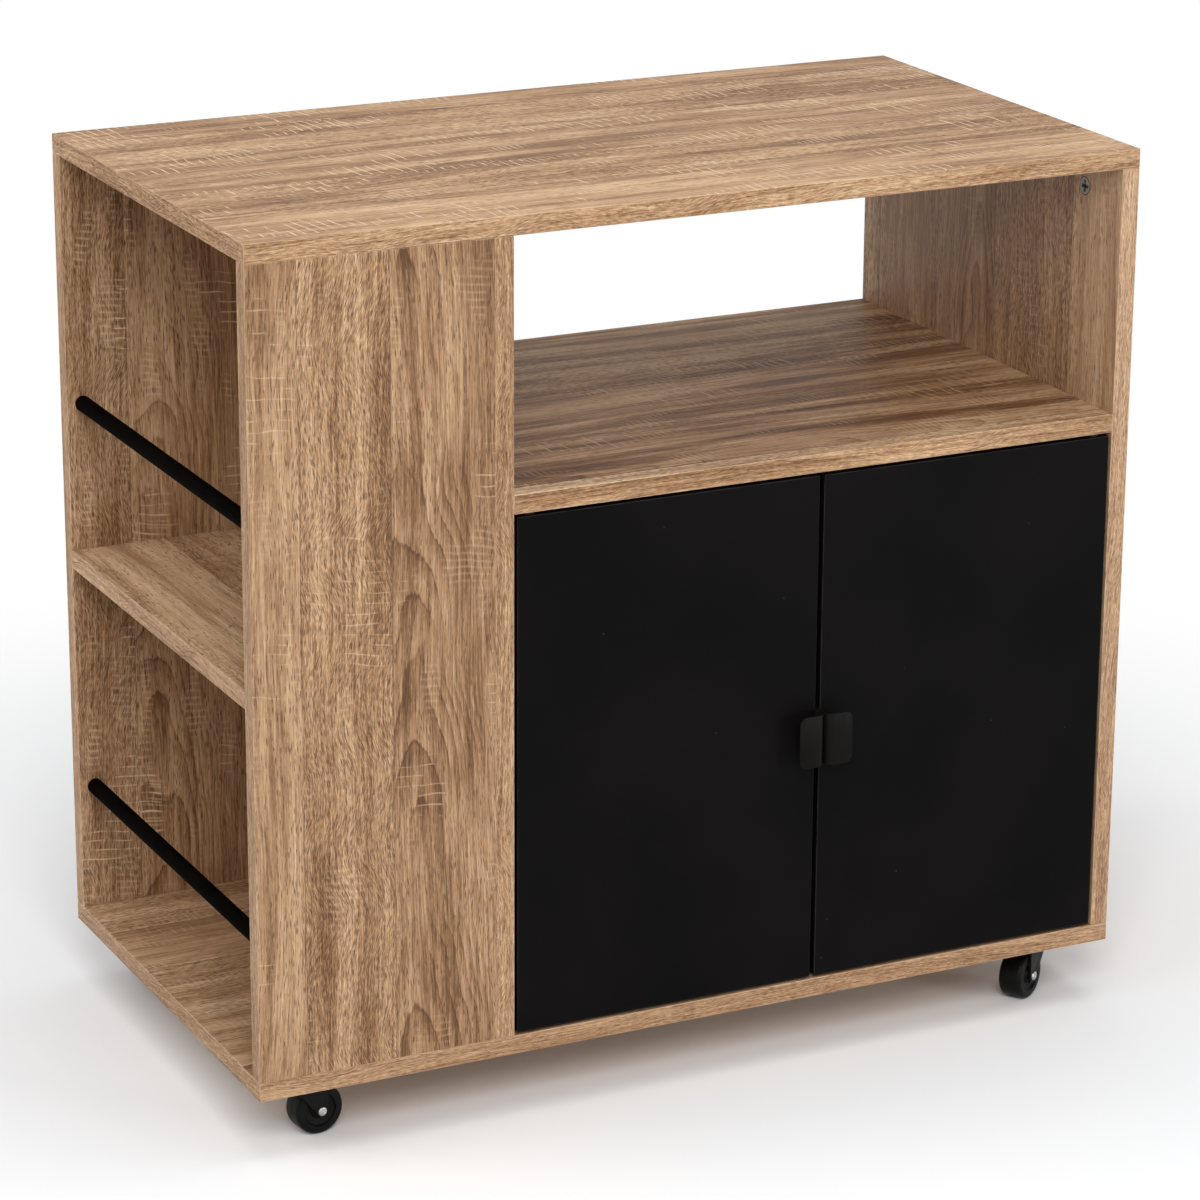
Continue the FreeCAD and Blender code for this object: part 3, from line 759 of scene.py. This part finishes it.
catch_plastic = moulded_black("moulded_catch_case", paint(26, 26, 27), paint(35, 35, 36), 0.5, 0.35)
rounded_copy("catch_housing", "catch_case", "cart", catch_plastic, catch_rim)
coat("catch_magnets", zinc_finish("sintered_magnet", paint(120, 120, 122), paint(150, 150, 151), 0.5))
low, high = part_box("catch_housing")
ends = (low.x + catch_screw_from_end, high.x - catch_screw_from_end)
drive_screws("catch_screws", "cart", bright_zinc,
             [(x, (low.y + high.y) / 2, low.z) for x in ends], (0.0, 0.0, -1.0))
for hand in ("left", "right"):
    strike = hand + "_strike"
    rounded_copy(strike, strike + "_plate", hand + "_leaf", bright_zinc, strike_rim)
    low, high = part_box(strike)
    centre = ((low.x + high.x) / 2, high.y, (low.z + high.z) / 2)
    drive_screws(strike + "_screw", hand + "_leaf", bright_zinc, [centre], (0.0, 1.0, 0.0))


# The fittings that draw the boards together: grey cast cams with a cross recess, zinc plated bolts and
# screws, and beech dowels. Steel pins carry the loose shelf and the doors.
cam_rim = 0.0007


def beech_finish():
    finish, tree, shader = start_finish("raw_beech", Specular_IOR_Level=0.3)
    place = add(tree, "TexCoord").outputs["Object"]
    fleck = mottle(tree, place, 700.0, 3.0)
    cloud = mottle(tree, place, 60.0, 2.0)
    pale = tint(tree, ease(tree, cloud, 0.3, 0.7), paint(206, 170, 130), paint(222, 190, 152))
    colour = tint(tree, ease(tree, fleck, 0.55, 0.7, 0.0, 0.7), pale, paint(168, 126, 88))
    feed(tree, shader, colour, ease(tree, fleck, 0.2, 0.8, 0.6, 0.8), fleck, 0.0001, 0.5)
    return finish


def cast_finish():
    """Grey cast zinc, with a dark ring of painted shade along the rims."""
    finish, tree, shader = start_finish("cast_zinc", Metallic=0.6)
    spots = add(tree, "TexCoord").outputs
    grit = mottle(tree, spots["Object"], 900.0, 3.0)
    cloud = mottle(tree, spots["Object"], 160.0, 3.0)
    grey = tint(tree, ease(tree, cloud, 0.3, 0.7), paint(118, 113, 103), paint(160, 155, 144))
    colour = tint(tree, edge_mask(tree, spots), grey, paint(24, 21, 19))
    feed(tree, shader, colour, total(tree, 0.48, swing(tree, cloud, 0.12)), grit, 0.00006, 0.6)
    return finish


rounded_copy("cam_locks", "cast_cam_locks", "cart", cast_finish(), cam_rim, 1)
for fitting in ("cam_bolts", "long_screws", "shelf_pins"):
    coat(fitting, bright_zinc)
coat("door_pivot_pins", zinc_finish("black_passivated_zinc", paint(44, 42, 40), paint(66, 63, 60), 0.5))
coat("dowels", beech_finish())


# Four swivel casters: a pressed steel plate with a ball race, a bent steel fork that turns under it on
# a kingpin, and a moulded black wheel with dished sides on a riveted steel axle.
wheel_radius = 0.020
wheel_width = 0.0204
wheel_shoulder = 0.0034
wheel_rim = 0.0032
wheel_dish = 0.0016
dish_slope = wheel_dish * 0.6
dish_middle = wheel_dish * 1.5
hub_radius = 0.0062
hub_slope = wheel_dish * 0.8
hub_sink = wheel_dish * 0.35
parting_half = 0.00035
parting_depth = 0.00018
fork_half = 0.0127
rivet_radius = 0.0036
rivet_rise = 0.0012
rivet_round = rivet_rise * 0.75
rivet_neck = 0.8
dimple_from_rim = rivet_radius * 0.48
dimple_slope = rivet_radius * 0.12
dimple_depth = rivet_rise * 0.4
outer_share = 0.99
hair = 0.00001
weld_distance = 0.000001
fork_rim = 0.00045
plate_rim = 0.0003
plate_screw_offset = 0.0155
plate_thickness = 0.002
corners = ("front_left", "front_right", "rear_left", "rear_right")


def select_edges(test):
    """Selects the edges of the mesh in edit mode that pass the test."""
    bpy.ops.mesh.select_mode(type="EDGE")
    bpy.ops.mesh.select_all(action="DESELECT")
    mesh = bmesh.from_edit_mesh(bpy.context.object.data)
    for edge in mesh.edges:
        edge.select_set(test(edge))
    mesh.select_flush_mode()
    bmesh.update_edit_mesh(bpy.context.object.data)


def edge_middle(edge):
    return (edge.verts[0].co + edge.verts[1].co) / 2


def model_wheel():
    """The wheel at the origin, its axle along Y, from a drum: rounded, dished and bossed."""
    bpy.ops.object.select_all(action="DESELECT")
    bpy.ops.mesh.primitive_cylinder_add(vertices=84, radius=wheel_radius, depth=wheel_width,
                                        rotation=(math.pi / 2, 0.0, 0.0))
    wheel = bpy.context.object
    bpy.ops.object.transform_apply(rotation=True)
    bpy.ops.object.mode_set(mode="EDIT")

    # Hub and dish: each ring is inset from the last, and both sides are drawn in or out together
    def pull_sides(reach):
        half = max(abs(face.calc_center_median().y)
                   for face in bmesh.from_edit_mesh(wheel.data).faces if face.select)
        bpy.ops.transform.resize(value=(1.0, reach / half, 1.0), center_override=(0.0, 0.0, 0.0))

    half_width = wheel_width / 2
    dish_radius = wheel_radius - wheel_shoulder - wheel_rim
    select_faces(lambda face: abs(face.normal.y) > facing_share)
    bpy.ops.mesh.inset(thickness=wheel_shoulder + wheel_rim)
    bpy.ops.mesh.inset(thickness=dish_slope)
    pull_sides(half_width - wheel_dish)
    bpy.ops.mesh.inset(thickness=dish_radius - dish_slope - hub_radius - hub_slope)
    pull_sides(half_width - dish_middle)
    bpy.ops.mesh.inset(thickness=hub_slope)
    pull_sides(half_width - hub_sink)

    # The moulded tread: round shoulders, and the seam of the mould as a fine groove in the middle
    select_edges(lambda edge: edge_middle(edge).xz.length > wheel_radius * outer_share
                 and abs(edge_middle(edge).y) > half_width - hair)
    bpy.ops.mesh.bevel(offset=wheel_shoulder, segments=6, profile=0.5)
    for side in (-parting_half, parting_half):
        bpy.ops.mesh.select_all(action="SELECT")
        bpy.ops.mesh.bisect(plane_co=(0.0, side, 0.0), plane_no=(0.0, 1.0, 0.0))
    select_faces(lambda face: abs(face.calc_center_median().y) < parting_half / 2)
    shrink = 1 - parting_depth / wheel_radius
    bpy.ops.mesh.extrude_region_shrink_fatten(TRANSFORM_OT_shrink_fatten={"value": 0.0})
    bpy.ops.transform.resize(value=(shrink, 1.0, shrink), center_override=(0.0, 0.0, 0.0))
    bpy.ops.mesh.select_all(action="SELECT")
    bpy.ops.mesh.remove_doubles(threshold=weld_distance)
    bpy.ops.mesh.normals_make_consistent(inside=False)
    bpy.ops.object.mode_set(mode="OBJECT")
    bpy.ops.object.shade_smooth_by_angle(angle=math.radians(28.0))
    return wheel


def model_axle():
    """A rivet along Y at the origin, each end peened over into a low dome with a dimple."""
    bpy.ops.object.select_all(action="DESELECT")
    reach = fork_half + rivet_rise
    bpy.ops.mesh.primitive_cylinder_add(vertices=32, radius=rivet_radius, depth=2 * reach,
                                        rotation=(math.pi / 2, 0.0, 0.0))
    axle = bpy.context.object
    bpy.ops.object.transform_apply(rotation=True)
    bpy.ops.object.mode_set(mode="EDIT")
    for side in (-fork_half, fork_half):
        bpy.ops.mesh.select_all(action="SELECT")
        bpy.ops.mesh.bisect(plane_co=(0.0, side, 0.0), plane_no=(0.0, 1.0, 0.0))
    select_faces(lambda face: abs(face.calc_center_median().y) < fork_half / 2)
    bpy.ops.mesh.extrude_region_shrink_fatten(TRANSFORM_OT_shrink_fatten={"value": 0.0})
    bpy.ops.transform.resize(value=(rivet_neck, 1.0, rivet_neck), center_override=(0.0, 0.0, 0.0))
    select_faces(lambda face: abs(face.normal.y) > facing_share
                 and abs(face.calc_center_median().y) > fork_half + hair)
    bpy.ops.mesh.inset(thickness=dimple_from_rim)
    bpy.ops.mesh.inset(thickness=dimple_slope)
    sunk = (reach - dimple_depth) / reach
    bpy.ops.transform.resize(value=(1.0, sunk, 1.0), center_override=(0.0, 0.0, 0.0))
    select_edges(lambda edge: edge_middle(edge).xz.length > rivet_radius * outer_share
                 and abs(edge_middle(edge).y) > reach - hair)
    bpy.ops.mesh.bevel(offset=rivet_round, segments=4, profile=0.5)
    bpy.ops.mesh.select_all(action="SELECT")
    bpy.ops.mesh.remove_doubles(threshold=weld_distance)
    bpy.ops.mesh.normals_make_consistent(inside=False)
    bpy.ops.object.mode_set(mode="OBJECT")
    bpy.ops.object.shade_smooth_by_angle(angle=math.radians(35.0))
    return axle


def mount_copy(model, node_name, name, body, finish, joint):
    """A copy of a caster part, turned to the caster's own angle and set on its axle line."""
    axis = Vector(joint["axis"])
    turned = Matrix.Rotation(math.atan2(-axis.x, axis.y), 4, "Z")
    piece = bpy.data.objects.new(name, model.data.copy())
    piece.data.transform(Matrix.Translation(joint["pos_m"]) @ turned)
    bpy.context.scene.collection.objects.link(piece)
    piece.data.materials.append(finish)
    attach(piece, body)
    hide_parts(node_name)


wheel_model = model_wheel()
axle_model = model_axle()
wheel_plastic = moulded_black("moulded_wheel", paint(9, 9, 9), paint(15, 14, 14), 0.42, 0.1)
fork_coat = powder_coat("caster_powder_coat", paint(13, 12, 12), paint(19, 18, 17), 0.1)
for corner in corners:
    caster = "caster_" + corner
    roll = joints[caster + "_roll"]
    rounded_copy(caster + "_fork", caster + "_bent_fork", corner + "_swivel",
                 fork_coat, fork_rim)
    mount_copy(axle_model, caster + "_axle", caster + "_riveted_axle", corner + "_swivel",
               bright_zinc, roll)
    mount_copy(wheel_model, caster + "_wheel", caster + "_moulded_wheel", corner + "_roller",
               wheel_plastic, roll)
rounded_copy("caster_plates", "caster_pressed_plates", "cart", fork_coat, plate_rim)
plate_seats = []
under_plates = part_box("caster_plates")[1].z - plate_thickness
for corner in corners:
    x, y = joints["caster_" + corner + "_swivel"]["pos_m"][:2]
    for way_x in (-plate_screw_offset, plate_screw_offset):
        for way_y in (-plate_screw_offset, plate_screw_offset):
            plate_seats.append((x + way_x, y + way_y, under_plates))
drive_screws("caster_plate_screws", "cart", black_screw, plate_seats, (0.0, 0.0, -1.0))
for model in (screw_model, wheel_model, axle_model):
    bpy.data.objects.remove(model)
